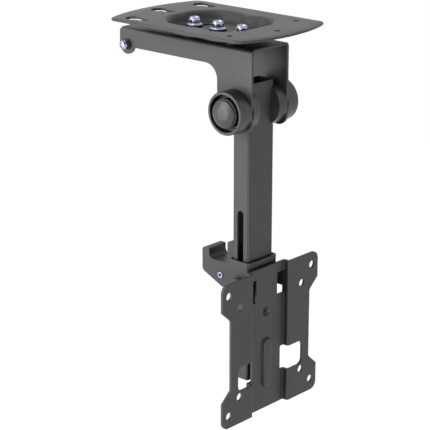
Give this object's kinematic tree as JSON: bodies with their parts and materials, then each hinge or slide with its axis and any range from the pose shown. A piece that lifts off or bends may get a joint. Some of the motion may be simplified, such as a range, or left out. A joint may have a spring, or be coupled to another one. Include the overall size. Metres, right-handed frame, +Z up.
{
  "type": "tv ceiling mount",
  "caption": "Fold-up ceiling mount for a small screen: dished plate, swivelling channel arm, hinged mast, sliding sleeve with catch hook and a joggled screen plate.",
  "frame": {"origin": "on the swivel axis in the plane of the ceiling, at the top face of the ceiling plate's rim", "axes": "+Z up into the ceiling along the swivel axis, +X to the right seen from the screen side, +Y behind the screen"},
  "size_m": [0.115, 0.1616, 0.3092],
  "materials": {
    "black_coat": "satin powder coat",
    "black_plastic": "fine matt",
    "black_nylon": "matt",
    "black_zinc": "black zinc",
    "bright_zinc": "bright zinc plate"
  },
  "bodies": {
    "ceiling": {"ceiling_plate": "black_coat"},
    "arm": {"swivel_disc": "black_plastic", "swivel_pivot_bolt": "black_zinc", "swivel_guide_bolts": "black_zinc", "swivel_washers": "black_zinc", "swivel_nuts": "bright_zinc", "arm_channel": "black_coat", "catch_bolt": "bright_zinc", "catch_bolt_nut": "bright_zinc", "catch_bolt_washers": "black_zinc", "hinge_bolt": "bright_zinc", "hinge_nut": "bright_zinc", "hinge_washers": "bright_zinc", "knob_housing_left": "black_plastic", "knob_cap_left": "black_plastic", "knob_housing_right": "black_plastic", "knob_cap_right": "black_plastic", "hinge_spacer_left": "black_plastic", "hinge_spacer_right": "black_plastic"},
    "mast": {"mast_tube": "black_coat", "hinge_bush": "bright_zinc", "mast_plug": "black_plastic"},
    "slider": {"slider_sleeve": "black_coat", "catch_hook": "black_coat", "hook_rivet": "bright_zinc", "guide_block": "black_nylon", "guide_pin": "bright_zinc", "screen_plate": "black_coat", "ear_rivets": "bright_zinc", "ear_spacers": "bright_zinc", "centre_screw": "black_zinc"}
  },
  "joints": [
    {"name": "swivel", "type": "hinge", "parent": "ceiling", "child": "arm", "pos_m": [0, 0, -0.0105], "axis": [0, 0, 1], "range_deg": [-30, 30]},
    {"name": "fold", "type": "hinge", "parent": "arm", "child": "mast", "pos_m": [0, -0.037, -0.06155], "axis": [1, 0, 0], "range_deg": [0, 90]},
    {"name": "catch_slide", "type": "slide", "parent": "mast", "child": "slider", "axis": [0, 0, 1], "range_m": [0, 0.011]}
  ]
}
